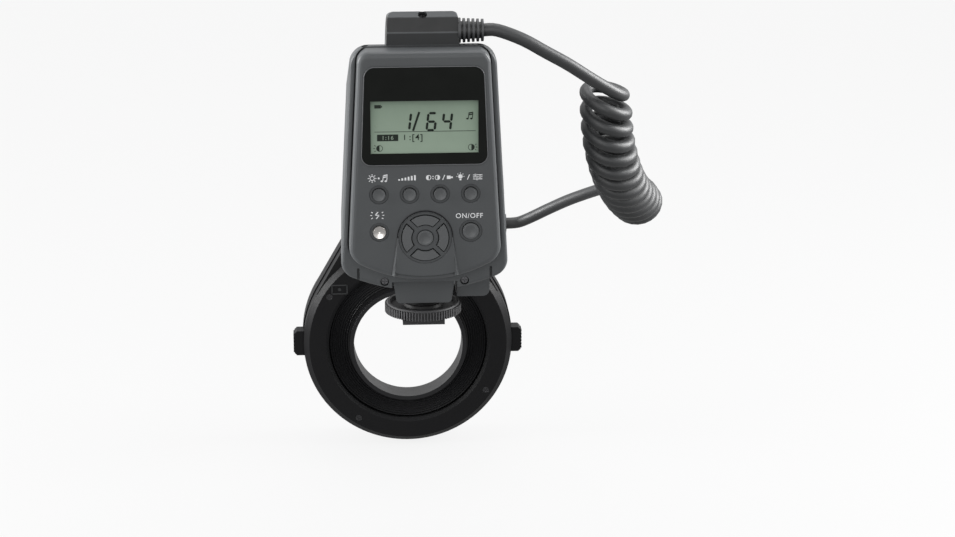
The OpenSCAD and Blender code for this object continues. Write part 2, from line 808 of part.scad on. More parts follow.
// The room inside the cord housing, open to the ring's own hollow
module hood_room(z, d) {
  half = hood_half - 2;
  translate([-half, shell_out - 6, z]) cube([2 * half, hood_h - shell_out + 3.6, d]);
}

module ring_rear_case() {
  relief_at = ring_d - relief_r - 0.6;
  color(dark_plastic) on_ring() difference() {
    union() {
      rotate_extrude($fn = 128) polygon([[bore_r, ring_front_d], [ring_r - rim_step, ring_front_d],
        [ring_r - rim_step, ring_d - 3.5], [ring_r - 3.4, ring_d],
        [bore_r + 1.6, ring_d], [bore_r, ring_d - 1.2]]);
      translate([0, 0, ring_front_d])
        linear_extrude(ring_d - ring_front_d - hood_back) hood_outline(rim_step);
      translate([hood_half, hood_y, relief_at]) rotate([0, 90, 0])
        cylinder(low_relief_x - hood_half, r = relief_r + 0.4);
    }
    translate([0, 0, ring_front_d - 1]) cylinder(ring_d, r = bore_r);
    arc_bar(shell_in, shell_out - rim_step, ring_front_d - 1, ring_d - 2, 0, 360);
    hood_room(ring_front_d - 1, ring_d - ring_front_d - 2);
    translate([hood_half - 4, hood_y, relief_at]) rotate([0, 90, 0]) cylinder(low_relief_x, r = neck_r + 0.1);
    release_paths();
    ring_screw_spots() {
      translate([0, 0, ring_d - 3]) cylinder(4, r = 0.9);
      translate([0, 0, ring_d - 1.1]) cylinder(2, r = 1.7);
    }
  }
}

// Slots in the ring's walls for the two release sliders
module release_paths() {
  for (a = [0, 180]) rotate(a) {
    translate([-ring_r - 2, -1.5 - slide_gap, slider_z - slide_gap])
      cube([ring_r - slider_in + 2, 8.5 + 2 * slide_gap, slider_t + 2 * slide_gap]);
    translate([bore_r - 3, 3 - slide_gap, slider_z - slide_gap])
      cube([shell_in - bore_r + 4, 5 + 2 * slide_gap, slider_t + 2 * slide_gap]);
    translate([-ring_r - 1, -button_w / 2 - slide_gap, slider_z - 3 - slide_gap])
      cube([1 + release_travel + 1.2, button_w + 2 * slide_gap, slider_t + 6 + 2 * slide_gap]);
  }
}

module ring_front_case() {
  color(dark_plastic) on_ring() difference() {
    union() {
      rotate_extrude($fn = 128) polygon([
        [bore_r - 1.8, 0], [ring_r - 3, 0], [ring_r, 3], [ring_r, ring_front_d],
        [bore_r - 1.8, ring_front_d]]);
      translate([0, 0, 3.5]) linear_extrude(ring_front_d - 3.5) hood_outline();
    }
    translate([0, 0, -1]) cylinder(ring_d, r = bore_r - 1.8);
    arc_bar(shell_in, shell_out, front_skin, ring_d, 0, 360);
    for (a = [0, 180])
      arc_bar(window_in - 0.1, window_out + 0.1, -1, front_skin + 1,
        a - flash_half - 0.2, a + flash_half + 0.2);
    for (s = [-1, 1]) translate([0, s * tube_mid, -1]) cylinder(4, r = 3.05);
    hood_room(5.5, ring_d);
  }
}

module diffuser(a) {
  on_ring() {
    arc_bar(window_in, window_out, -0.3, front_skin + 0.1, a - flash_half, a + flash_half);
    arc_bar(window_in - 0.5, window_out + 0.3, front_skin + 0.05, front_skin + 0.6,
      a - flash_half - 0.6, a + flash_half + 0.6);
  }
}
module left_diffuser() { color("white") diffuser(180); }
module right_diffuser() { color("white") diffuser(0); }

// A trough behind the window that holds the tube
module reflector(a) {
  trough_d = 6.5;
  skin = 0.8;
  on_ring() difference() {
    arc_bar(window_in - 0.4, window_out + 0.2, reflector_z + 0.02, reflector_z + trough_d,
      a - flash_half - 0.6, a + flash_half + 0.6);
    arc_bar(window_in + 0.4, window_out - 0.6, reflector_z - 1, reflector_z + trough_d - skin,
      a - flash_half + 1, a + flash_half - 1);
    arc_bar(tube_mid - tube_r, tube_mid + tube_r, tube_z - tube_r, tube_z + tube_r,
      a - flash_half - 2, a + flash_half + 2);
  }
}
module left_reflector() { color(steel) reflector(180); }
module right_reflector() { color(steel) reflector(0); }

module flash_tube(a) {
  half = flash_half - 0.5;
  cap_l = 2 * tube_r - 0.4;
  cap_r = tube_r - 1;
  on_ring() translate([0, 0, tube_z]) {
    rotate(a - half) rotate_extrude(angle = 2 * half, $fn = 128)
      translate([tube_mid, 0]) circle(tube_r - 0.02);
    for (s = [-1, 1]) rotate(a + s * half) translate([tube_mid, 0, 0]) rotate([90, 0, 0])
      cylinder(cap_l, r = cap_r, center = true);
  }
}
module left_flash_tube() { color("white") flash_tube(180); }
module right_flash_tube() { color("white") flash_tube(0); }

module focus_lamp(s) {
  r = 3;
  dome_r = 2.2;
  on_ring() translate([0, s * tube_mid, 0]) {
    cylinder(front_skin + 2.8, r = r);
    translate([0, 0, front_skin]) cylinder(1, r = r + flange_w);
    translate([0, 0, 0.3]) sphere(dome_r);
  }
}
module top_focus_lamp() { color("white") focus_lamp(1); }
module bottom_focus_lamp() { color("white") focus_lamp(-1); }

module ring_board() {
  color(board_green) on_ring() difference() {
    arc_bar(shell_in + 0.3, shell_out - 0.9, ring_d - 3.8, ring_d - 2.2, 0, 360);
    ring_screw_spots() translate([0, 0, ring_d - 5]) cylinder(5, r = 1.3);
  }
}

// Button, bow and claw in one piece: pressing the button draws the far claw out of the adapter's groove
module release_slider() {
  button_edge = 1.2;
  ribs = 6;
  rib_pitch = (button_w - 2 * button_edge) / ribs;
  wide = 2 * ring_r;
  translate([0, 0, slider_z]) linear_extrude(slider_t) difference() {
    union() {
      translate([-ring_r + 1, -1.5]) square([ring_r - 1 - stem_end, 8]);
      translate([-stem_end - 0.5, 4.2]) square([2.3, 2.3]);
      intersection() {
        circle(slider_out, $fn = 128);
        polygon([[0, 0], wide * [cos(6), sin(6)], [wide, wide], [-wide, wide], wide * [cos(175), sin(175)]]);
      }
      translate([bore_r - 2, 3]) square([slider_out - bore_r + 1.2, 5]);
    }
    difference() {
      circle(slider_in, $fn = 128);
      translate([bore_r - 2, 3]) square([wide, 5]);
    }
    circle(bore_r - claw_reach, $fn = 128);
  }
  translate([-ring_r - button_out, -button_w / 2, slider_z - 3]) {
    linear_extrude(slider_t + 6) polygon([[0, button_edge], [button_edge, 0], [button_out + 1.5, 0],
      [button_out + 1.5, button_w], [button_edge, button_w], [0, button_w - button_edge]]);
    for (i = [0:ribs - 1]) translate([-0.5, button_edge + 0.4 + rib_pitch * i, 0.4])
      cube([0.6, rib_pitch / 2, slider_t + 5.2]);
  }
}
module left_release() { color(dark_plastic) on_ring() release_slider(); }
module right_release() { color(dark_plastic) on_ring() rotate(180) release_slider(); }

// A coil spring between the bore wall and the slider's stem
module release_spring() {
  turns = 4;
  steps = 10;
  coil_r = 1.1;
  wire_r = 0.2;
  free = stem_end - shell_in - 2 * wire_r - 0.3;
  route = [for (i = [0:turns * steps]) let(a = 360 * i / steps, t = i / (turns * steps))
    [-stem_end + wire_r + 0.1 + free * t, 1.2 + coil_r * cos(a), slider_z + slider_t / 2 + coil_r * sin(a)]];
  swept_tube(route, wire_r, 6);
}
module left_release_spring() { color(steel) on_ring() release_spring(); }
module right_release_spring() { color(steel) on_ring() rotate(180) release_spring(); }

module ring_screw_spots() {
  for (a = [0:90:270]) rotate(a + screw_turn) translate([screw_ring_r, 0, 0]) children();
}

module ring_screws() {
  color(steel) on_ring() ring_screw_spots() {
    translate([0, 0, ring_d - 6]) cylinder(5, r = 0.9);
    translate([0, 0, ring_d - 1.1]) screw_head(1.6, 0.9);
  }
}

module lens_adapter() {
  groove = 1.6;
  back = adapter_z + adapter_t;
  ridges = 8;
  ridge_h = 0.5;
  ridge_w = (bore_r - turn_gap - thread_r - 1) / ridges;
  color(dark_plastic) on_ring() rotate_extrude($fn = 128) polygon([
    [thread_r - 2, adapter_z], [bore_r - turn_gap, adapter_z],
    [bore_r - turn_gap, slider_z - 0.4], [bore_r - groove, slider_z - 0.4],
    [bore_r - groove, slider_z + slider_t + 0.4], [bore_r - turn_gap, slider_z + slider_t + 0.4],
    [bore_r - turn_gap, back - ridge_h],
    for (i = [0:ridges - 1]) each [
      [bore_r - turn_gap - ridge_w * (i + 0.5), back],
      [bore_r - turn_gap - ridge_w * (i + 1), back - ridge_h]],
    [thread_r, back - ridge_h], [thread_r, back + thread_l], [thread_r - 2, back + thread_l]]);
}

module lower_strain_relief() {
  color(dark_plastic) on_ring() translate([low_relief_x, hood_y, ring_d - relief_r - 0.6])
    strain_relief(low_relief_l);
}

// Cord

module cord_upper_lead() { color(cord_grey) swept_tube(smooth(upper_route, 2), cord_d / 2, 10); }
module cord_coil() { color(cord_grey) swept_tube(smooth(coil_axis, 2), coil_d / 2, 12); }
module cord_lower_lead() { color(cord_grey) swept_tube(smooth(lower_route, 2), cord_d / 2, 10); }

front_case();
rear_cover();
display_window();
lcd_panel();
main_board();
key_switches();
flash_capacitor();
battery_holder();
battery_contacts();
battery_cells();
battery_door();
door_hinge_pin();
door_catch();
outlet_cover();
outlet_screw();
upper_strain_relief();
case_screws();
foot_pedestal();
shoe_foot();
shoe_contacts();
lock_pin();
clamp_plate();
lock_wheel();
function_key_1();
function_key_2();
function_key_3();
function_key_4();
pilot_key();
power_key();
up_key();
left_key();
down_key();
right_key();
set_key();
ring_rear_case();
ring_front_case();
left_diffuser();
right_diffuser();
left_reflector();
right_reflector();
left_flash_tube();
right_flash_tube();
top_focus_lamp();
bottom_focus_lamp();
ring_board();
left_release();
right_release();
left_release_spring();
right_release_spring();
ring_screws();
lens_adapter();
lower_strain_relief();
cord_upper_lead();
cord_coil();
cord_lower_lead();
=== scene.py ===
import json
import math

import bpy
from mathutils import Matrix, Vector


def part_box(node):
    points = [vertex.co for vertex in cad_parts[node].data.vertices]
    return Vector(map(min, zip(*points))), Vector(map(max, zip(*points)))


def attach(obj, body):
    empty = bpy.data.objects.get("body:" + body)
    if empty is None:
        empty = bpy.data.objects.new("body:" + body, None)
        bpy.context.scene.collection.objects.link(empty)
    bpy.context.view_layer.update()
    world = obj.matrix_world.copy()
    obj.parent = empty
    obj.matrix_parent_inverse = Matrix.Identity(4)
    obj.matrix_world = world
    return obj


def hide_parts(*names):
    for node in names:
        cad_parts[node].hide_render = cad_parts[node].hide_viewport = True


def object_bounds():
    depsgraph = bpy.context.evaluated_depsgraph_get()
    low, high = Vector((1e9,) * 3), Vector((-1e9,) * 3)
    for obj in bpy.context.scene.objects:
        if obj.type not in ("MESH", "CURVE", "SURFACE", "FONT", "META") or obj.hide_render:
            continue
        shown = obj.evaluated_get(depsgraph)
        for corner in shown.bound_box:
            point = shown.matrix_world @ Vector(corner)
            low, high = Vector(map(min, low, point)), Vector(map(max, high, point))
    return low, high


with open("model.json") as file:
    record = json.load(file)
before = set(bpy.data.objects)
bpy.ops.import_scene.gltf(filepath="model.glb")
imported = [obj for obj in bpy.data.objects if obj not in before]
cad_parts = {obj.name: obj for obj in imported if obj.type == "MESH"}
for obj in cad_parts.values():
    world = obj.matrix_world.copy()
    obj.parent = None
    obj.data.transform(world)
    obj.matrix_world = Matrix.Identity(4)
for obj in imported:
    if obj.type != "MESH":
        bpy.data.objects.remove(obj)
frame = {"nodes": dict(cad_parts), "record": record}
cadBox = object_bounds()
nodes = frame["nodes"]
mm = 0.001
print("frame loaded:", len(nodes), "nodes")


# Camera

cameraLook = {
    "azimuth": -3.5,  # degrees, 0 looks along +Y
    "elevation": 17.0,
    "distance": 1.115,  # metres from the lens to the aim point
    "aim": (0.0, 0.0, 8 * mm),
    "aimPixel": (423.0, 301.3),
    "imageSize": (955, 537),
    "focalPixels": 2500.0,
    "sensorWidth": 36.0,
}


def placeCamera(look):
    turn = math.radians(look["azimuth"])
    rise = math.radians(look["elevation"])
    right = Vector((math.cos(turn), math.sin(turn), 0))
    ahead = Vector((-math.sin(turn) * math.cos(rise), math.cos(turn) * math.cos(rise), -math.sin(rise)))
    up = right.cross(ahead)
    wide, high = look["imageSize"]
    perPixel = look["distance"] / look["focalPixels"]
    sideways = (look["aimPixel"][0] - wide / 2) * perPixel
    upwards = (high / 2 - look["aimPixel"][1]) * perPixel
    spot = Vector(look["aim"]) - right * sideways - up * upwards - ahead * look["distance"]
    bpy.ops.object.camera_add(location=spot)
    camera = bpy.context.object
    camera.rotation_euler = Matrix((right, up, -ahead)).transposed().to_euler()
    camera.data.sensor_width = look["sensorWidth"]
    camera.data.lens = look["focalPixels"] * look["sensorWidth"] / wide
    bpy.context.scene.camera = camera


placeCamera(cameraLook)
print("camera placed")


# Cord: lead, helix and lead in one curve

cordLook = {
    "diameter": 5.6 * mm,
    "coilRadius": 8.9 * mm,  # centre of the wire
    "turns": 12.4,
    "pointsPerTurn": 24,
    "startShare": -0.01,  # place of the first turn along the coil's axis
    "firstAngle": 15.0,  # degrees past the side that faces the panel
    "lean": 0.36,  # slope of each turn, down to the right
    "leadSteps": 4,  # points between two route points
    "axisSteps": 40,
    "blendReach": 8,  # points on each side of a join that are eased
    "blendSteps": 15,
    "roundness": 5,
    "upper": [(26, -14, 133.5), (32, -14, 133.3), (43, -13.5, 129), (54, -12, 122.5), (65, -9.5, 116),
              (74, -7, 109.5), (83, -4.5, 104)],
    "axis": [(81, 4, 103), (81.5, 6, 92), (83, 10, 80), (86, 17, 68), (90, 27, 57), (95, 40, 47),
             (100.5, 54, 39), (104, 64, 35)],
    "lower": [(101, 68, 43), (95, 77, 40), (89, 87, 35), (83, 97, 30), (75, 107, 24), (66.5, 115.5, 17.5),
              (58, 121.5, 11.5), (52, 124, 8.4), (46, 124, 8)],
}


def smoothRoute(route, steps):
    points = [Vector(p) * mm for p in route]
    last = len(points) - 1
    line = []
    for i in range(last):
        a, b, c, d = points[max(i - 1, 0)], points[i], points[i + 1], points[min(i + 2, last)]
        for k in range(steps):
            t = k / steps
            line.append(0.5 * (2 * b + (c - a) * t + (2 * a - 5 * b + 4 * c - d) * t ** 2
                               + (3 * b - a - 3 * c + d) * t ** 3))
    line.append(points[last])
    return line


def lineLength(line):
    return sum((b - a).length for a, b in zip(line, line[1:]))


def pointAlong(line, share):
    left = share * lineLength(line)
    for a, b in zip(line, line[1:]):
        step = (b - a).length
        if left <= step:
            return a.lerp(b, left / step), (b - a).normalized()
        left -= step
    return line[-1], (line[-1] - line[-2]).normalized()


def helixPoints(look):
    axis = smoothRoute(look["axis"], look["axisSteps"])
    count = round(look["turns"] * look["pointsPerTurn"])
    start = look["startShare"]
    points = []
    for k in range(count + 1):
        centre, along = pointAlong(axis, start + (1 - start) * k / count)
        facing = (Vector((0, -1, 0)) + along * along.y).normalized()
        angle = math.radians(look["firstAngle"] + 360 * look["turns"] * k / count)
        side = facing.cross(along)
        sideways = math.sin(angle)
        points.append(centre + look["coilRadius"] * (facing * math.cos(angle) + side * sideways
                                                     + along * look["lean"] * sideways))
    return points


def easeJoin(line, at, reach, times):
    for step in range(times):
        span = reach * (times - step) // times + 1  # narrower each time, so that its ends keep no kink
        for i in range(max(1, at - span), min(len(line) - 1, at + span)):
            line[i] = (line[i - 1] + 2 * line[i] + line[i + 1]) / 4


def makeCord(look):
    upper = smoothRoute(look["upper"][:-1], look["leadSteps"])
    helix = helixPoints(look)
    lower = smoothRoute(look["lower"], look["leadSteps"])
    line = upper + helix + lower[1:]
    for join in (len(upper), len(upper) + len(helix)):
        easeJoin(line, join, look["blendReach"], look["blendSteps"])
    curve = bpy.data.curves.new("curly_cord", "CURVE")
    curve.dimensions = "3D"
    curve.bevel_depth = 1.0  # each point's radius gives the wire's, so that the curve's box is right
    curve.bevel_resolution = look["roundness"]
    curve.use_fill_caps = True
    spline = curve.splines.new("POLY")
    spline.points.add(len(line) - 1)
    for point, place in zip(spline.points, line):
        point.co = (*place, 1)
        point.radius = look["diameter"] / 2
    spline.use_smooth = True
    cord = bpy.data.objects.new("curly_cord", curve)
    bpy.context.scene.collection.objects.link(cord)
    lineLength(line)
    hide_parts("cord_upper_lead", "cord_coil", "cord_lower_lead")
    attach(cord, "unit")
    print("cord length", round(lineLength(line), 3), "m")
    return cord


cord = makeCord(cordLook)


# Shader sketching: a socket that takes part in Python expressions

class Wire:
    def __init__(self, socket):
        self.socket = socket

    def maths(self, operation, other, swapped=False):
        pair = (other, self) if swapped else (self, other)
        return addNode(self.socket.id_data, "ShaderNodeMath", {"operation": operation}, dict(enumerate(pair)))

    def __add__(self, other):
        return self.maths("ADD", other)

    def __sub__(self, other):
        return self.maths("SUBTRACT", other)

    def __mul__(self, other):
        return self.maths("MULTIPLY", other)

    def power(self, exponent):
        return self.maths("POWER", exponent)


def addNode(tree, kind, settings=None, sockets=None, output=0):
    node = tree.nodes.new(kind)
    for name, value in (settings or {}).items():
        setattr(node, name, value)
    for name, value in (sockets or {}).items():
        if isinstance(value, Wire):
            tree.links.new(value.socket, node.inputs[name])
        else:
            node.inputs[name].default_value = value
    return Wire(node.outputs[output])


def startMaterial(name):
    material = bpy.data.materials.new(name)
    material.use_nodes = True
    tree = material.node_tree
    tree.nodes.clear()
    place = addNode(tree, "ShaderNodeTexCoord", output="Object")
    return material, tree, place


def closeMaterial(tree, shader):
    output = tree.nodes.new("ShaderNodeOutputMaterial")
    tree.links.new(shader.socket, output.inputs["Surface"])


def noise(tree, place, scale, detail=2.0, roughness=0.5):
    return addNode(tree, "ShaderNodeTexNoise", {"noise_dimensions": "3D"},
                   {"Vector": place, "Scale": scale, "Detail": detail, "Roughness": roughness}, "Fac")


def blendColours(tree, share, *pair):
    first, second = (tone if isinstance(tone, Wire) else (*tone, 1) for tone in pair)
    return addNode(tree, "ShaderNodeMix", {"data_type": "RGBA", "blend_type": "MIX"},
                   {"Factor": share, 6: first, 7: second}, 2)


def ramp(tree, value, stops):
    wire = addNode(tree, "ShaderNodeValToRGB", None, {"Fac": value})
    elements = wire.socket.node.color_ramp.elements
    elements[0].position, elements[1].position = stops[0][0], stops[-1][0]
    for position, _ in stops[1:-1]:
        elements.new(position)
    for element, (_, shade) in zip(elements, stops):
        element.color = (*shade, 1)
    return wire


def lighter(colour, share):
    return tuple(min(1.0, c * share) for c in colour)


def axisOf(tree, place, axis):
    return addNode(tree, "ShaderNodeSeparateXYZ", None, {0: place}, axis)


def openness(tree, reach):
    return addNode(tree, "ShaderNodeAmbientOcclusion", {"samples": 6}, {"Distance": reach}, "AO")


def softEdge(tree, radius):
    return addNode(tree, "ShaderNodeBevel", {"samples": 4}, {"Radius": radius})


def bumps(tree, height, strength, depth, **base):
    return addNode(tree, "ShaderNodeBump", None, {"Strength": strength, "Distance": depth, "Height": height, **base})


def principled(tree, colour, roughness, sockets=None):
    return addNode(tree, "ShaderNodeBsdfPrincipled", None,
                   {"Base Color": colour, "Roughness": roughness, **(sockets or {})})


# Share of painted shade by height, given in metres as (height, share)
def heightBands(tree, place, shadeBands):
    low, high = shadeBands[0][0], shadeBands[-1][0]
    level = (axisOf(tree, place, "Z") - low) * (1 / (high - low))
    return ramp(tree, level, [((height - low) / (high - low), (share, share, share)) for height, share in shadeBands])


# Moulded plastic with a spark-eroded grain, soft edges, faint handling marks, painted shade in its crevices and, where
# bands are given, painted shade by height
def mouldedPlastic(name, colour, rough, grain=1900.0, edge=0.35 * mm, coat=0.0, gleam=0.3, crevice=1.2 * mm,
                   shadeBands=None):
    material, tree, place = startMaterial(name)
    shadow = lighter(colour, 0.12)
    cloud = noise(tree, place, 55.0, 3.0)
    fine = noise(tree, place, grain, 2.0, 0.6)
    smear = noise(tree, place, 210.0, 4.0, 0.65)
    tone = blendColours(tree, cloud, lighter(colour, 0.9), lighter(colour, 1.1))
    speck = blendColours(tree, fine * 0.25, tone, lighter(colour, 1.35))
    if shadeBands:
        # Painted shade by height, where bands are given
        speck = blendColours(tree, heightBands(tree, place, shadeBands), speck, shadow)
    # Painted shade: darker where ambient occlusion finds surfaces near, in crevices, gaps and under overhangs
    creviceShaded = blendColours(tree, openness(tree, crevice).power(1.6), shadow, speck)
    bump = bumps(tree, fine, 0.6, 0.035 * mm, Normal=softEdge(tree, edge))
    closeMaterial(tree, principled(tree, creviceShaded, smear * 0.16 + (rough - 0.08), {
        "Normal": bump, "Coat Weight": coat, "Specular IOR Level": gleam}))
    return material


def glossPlastic(name, colour, rough, gleam):
    material, tree, place = startMaterial(name)
    smear = noise(tree, place, 90.0, 5.0, 0.7)
    ripple = noise(tree, place, 140.0, 1.0)
    tone = blendColours(tree, smear, colour, lighter(colour, 1.5))
    bump = bumps(tree, ripple, 0.15, 0.02 * mm, Normal=softEdge(tree, 0.25 * mm))
    closeMaterial(tree, principled(tree, tone, smear * 0.12 + rough, {"Normal": bump, "Specular IOR Level": gleam}))
    return material


def brightMetal(name, colour, rough):
    material, tree, place = startMaterial(name)
    lines = noise(tree, place, 900.0, 3.0, 0.6)
    stain = noise(tree, place, 160.0, 3.0)
    tone = blendColours(tree, stain, lighter(colour, 0.82), lighter(colour, 1.08))
    bump = bumps(tree, lines, 0.25, 0.02 * mm, Normal=softEdge(tree, 0.12 * mm))
    closeMaterial(tree, principled(tree, tone, lines * 0.2 + (rough - 0.1), {"Metallic": 1.0, "Normal": bump}))
    return material


def rubberSkin(name, colour, rough):
    material, tree, place = startMaterial(name)
    cloud = noise(tree, place, 70.0, 4.0)
    skin = noise(tree, place, 1500.0, 3.0, 0.6)
    dust = noise(tree, place, 420.0, 5.0, 0.7)
    tone = blendColours(tree, cloud, lighter(colour, 0.88), lighter(colour, 1.14))
    dusted = blendColours(tree, dust * 0.18, tone, lighter(colour, 1.6))
    # Painted shade: darker where ambient occlusion finds surfaces near, such as between the coil's turns
    creviceShaded = blendColours(tree, openness(tree, 2.5 * mm).power(1.8), lighter(colour, 0.1), dusted)
    bump = bumps(tree, skin, 0.05, 0.02 * mm)
    closeMaterial(tree, principled(tree, creviceShaded, dust * 0.18 + (rough - 0.09), {"Normal": bump}))
    return material


def frostedLens(name, colour, rough):
    material, tree, place = startMaterial(name)
    prism = addNode(tree, "ShaderNodeTexVoronoi", {"feature": "F1"}, {"Vector": place, "Scale": 900.0}, "Distance")
    cloud = noise(tree, place, 60.0, 2.0)
    tone = blendColours(tree, cloud, lighter(colour, 0.94), colour)
    bump = bumps(tree, prism, 0.4, 0.1 * mm)
    closeMaterial(tree, principled(tree, tone, prism * 0.2 + rough, {"Normal": bump}))
    return material


# Liquid crystal display: grey-green, with painted shadow along its top and side edges, a little darker towards the
# top, faintly mottled
def displayFace(name, low, high):
    material, tree, place = startMaterial(name)
    middle = (low + high) / 2
    half = (high - low) / 2
    across = (axisOf(tree, place, "X") - middle.x) * (1 / half.x)
    upward = (axisOf(tree, place, "Z") - middle.z) * (1 / half.z) + 1
    # Painted shadow along the side edges and the top edge
    sides = (across * across).power(7) * 0.7
    roof = (upward * 0.5).power(14) * 0.9
    mottled = noise(tree, place, 130.0, 3.0) * 0.12
    tone = ramp(tree, sides + roof + upward * 0.10 + mottled, [
        (0.0, (0.300, 0.380, 0.300)), (0.40, (0.176, 0.232, 0.179)), (1.0, (0.040, 0.055, 0.042))])
    closeMaterial(tree, principled(tree, tone, mottled + 0.24, {"Specular IOR Level": 0.2}))
    return material


def circuitBoard(name, colour):
    material, tree, place = startMaterial(name)
    tracks = addNode(tree, "ShaderNodeTexBrick", None, {"Vector": place, "Scale": 160.0, "Mortar Size": 0.06}, "Fac")
    cloud = noise(tree, place, 80.0)
    tone = blendColours(tree, tracks, colour, lighter(colour, 1.8))
    closeMaterial(tree, principled(tree, tone, cloud * 0.2 + 0.3))
    return material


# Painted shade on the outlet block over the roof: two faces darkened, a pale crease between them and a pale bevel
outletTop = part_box("outlet_cover")[1].z
outletPaintedShade = [
    (128.2 * mm, 0), (128.6 * mm, 0.80), (133.2 * mm, 0.80),
    (133.4 * mm, 0), (133.9 * mm, 0),
    (134.1 * mm, 1), (outletTop - 2.4 * mm, 1), (outletTop - 1.9 * mm, 0),
]

finishes = {
    # Case plastic: the outlet block's faces get painted shade by height
    "case_plastic": mouldedPlastic("case_plastic", (0.066, 0.070, 0.073), 0.44, gleam=0.28, shadeBands=outletPaintedShade),
    "key_plastic": mouldedPlastic("key_plastic", (0.086, 0.090, 0.093), 0.42, grain=2600.0, edge=0.25 * mm),
    "silver_key": brightMetal("silver_key", (0.54, 0.52, 0.50), 0.26),
    "window_plastic": glossPlastic("window_plastic", (0.0085, 0.0092, 0.0085), 0.12, gleam=0.05),
    "display_glass": displayFace("display_glass", *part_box("lcd_panel")),
    "board": circuitBoard("board", (0.01, 0.07, 0.03)),
    "inner_plastic": mouldedPlastic("inner_plastic", (0.02, 0.02, 0.022), 0.5),
    "contact_brass": brightMetal("contact_brass", (0.78, 0.60, 0.28), 0.28),
    "cell_steel": mouldedPlastic("cell_sleeve", (0.05, 0.13, 0.30), 0.3, coat=0.4),
    "screw_steel": brightMetal("screw_steel", (0.11, 0.11, 0.115), 0.36),
    "black_screw": brightMetal("black_screw", (0.05, 0.05, 0.052), 0.36),
    "catch_plastic": mouldedPlastic("catch_plastic", (0.03, 0.03, 0.032), 0.45),
    "relief_rubber": rubberSkin("relief_rubber", (0.035, 0.036, 0.038), 0.52),
    # Shoe plastic: the wide reach of its painted shade darkens faces under the case, not only its crevices
    "shoe_plastic": mouldedPlastic("shoe_plastic", (0.065, 0.065, 0.067), 0.48, edge=0.2 * mm, gleam=0.12,
                                   crevice=16 * mm),
    "ring_plastic": mouldedPlastic("ring_plastic", (0.007, 0.007, 0.0075), 0.44, gleam=0.10),
    "adapter_metal": mouldedPlastic("adapter_anodised", (0.008, 0.008, 0.009), 0.34, grain=3200.0, edge=0.2 * mm,
                                    gleam=0.25),
    "diffuser_plastic": frostedLens("diffuser_plastic", (0.80, 0.80, 0.78), 0.3),
    "reflector_metal": brightMetal("reflector_metal", (0.82, 0.82, 0.84), 0.2),
    "tube_glass": frostedLens("tube_glass", (0.72, 0.74, 0.77), 0.12),
    "lamp_lens": frostedLens("lamp_lens", (0.80, 0.76, 0.62), 0.15),
    "cord_rubber": rubberSkin("cord_rubber", (0.021, 0.022, 0.023), 0.48),
}

for part in frame["record"]["subparts"]:
    mesh = nodes[part["node"]].data
    mesh.materials.clear()
    mesh.materials.append(finishes[part["material_slot"]])
cord.data.materials.append(finishes["cord_rubber"])
print("materials on", len(nodes), "nodes")


# Flat marks: thin slabs drawn in millimetres, seen along +Y, then joined into one mesh

# Colour of flat marks, with faint wear: print, and for the tongue's line, painted shade
def markMaterial(name, colour, rough):
    material, tree, place = startMaterial(name)
    wear = noise(tree, place, 700.0, 3.0)
    tone = blendColours(tree, wear, lighter(colour, 0.9), colour)
    closeMaterial(tree, principled(tree, tone, wear * 0.1 + rough, {"Specular IOR Level": 0.2}))
    return material


def bar(x0, z0, x1, z1, width):
    lean = -math.atan2(z1 - z0, x1 - x0)
    bpy.ops.mesh.primitive_cube_add(size=1, location=((x0 + x1) / 2, 0, (z0 + z1) / 2), rotation=(0, lean, 0),
                                    scale=(math.hypot(x1 - x0, z1 - z0), 1, width))
    return bpy.context.object


def disc(x, z, radius, squash=1.0, corners=28):
    bpy.ops.mesh.primitive_cylinder_add(vertices=corners, radius=radius, depth=1, location=(x, 0, z),
                                        rotation=(math.pi / 2, 0, 0), scale=(1, squash, 1))
    return bpy.context.object


def keepSide(shape, x, z, way):
    bpy.ops.object.mode_set(mode="EDIT")
    bpy.ops.mesh.select_all(action="SELECT")
    bpy.ops.mesh.bisect(plane_co=(x, 0, z), plane_no=way, use_fill=True, clear_inner=True)
    bpy.ops.object.mode_set(mode="OBJECT")
    return shape


def hoop(x, z, radius, width):
    bpy.ops.mesh.primitive_torus_add(major_segments=48, minor_segments=8, major_radius=radius,
                                     minor_radius=width / 2, location=(x, 0, z), rotation=(math.pi / 2, 0, 0))
    return bpy.context.object


# A hoop with one half filled, side -1 for the left and 1 for the right
def halfFilled(x, z, radius, width, side):
    return [hoop(x, z, radius, width), keepSide(disc(x, z, radius), x, z, (side, 0, 0))]


def rays(x, z, inner, outer, width, angles):
    return [bar(x + inner * math.cos(a), z + inner * math.sin(a), x + outer * math.cos(a), z + outer * math.sin(a),
                width) for a in map(math.radians, angles)]


def words(text, x, z, height, spacing=1.0):
    capShare = 0.7  # height of a capital in the font's size
    bpy.ops.object.text_add(location=(x, 0, z), rotation=(math.pi / 2, 0, 0))
    sign = bpy.context.object
    sign.data.body = text
    sign.data.size = height / capShare
    sign.data.align_x = "CENTER"
    sign.data.align_y = "CENTER"
    sign.data.space_character = spacing
    sign.data.extrude = 0.5
    sign.data.offset = 0.012 * height  # a little bolder
    bpy.ops.object.convert(target="MESH")
    return bpy.context.object


def notes(x, z, size):
    apart = (0, 0.62 * size)
    stems = [bar(x + d, z, x + d + 0.12 * size, z + size, 0.12 * size) for d in apart]
    heads = [disc(x + d - 0.14 * size, z, 0.2 * size, 0.7) for d in apart]
    beams = [bar(x + 0.1 * size, z + h * size, x + 0.76 * size, z + (h + 0.12) * size, 0.2 * size)
             for h in (0.62, 0.9)]
    return stems + heads + beams


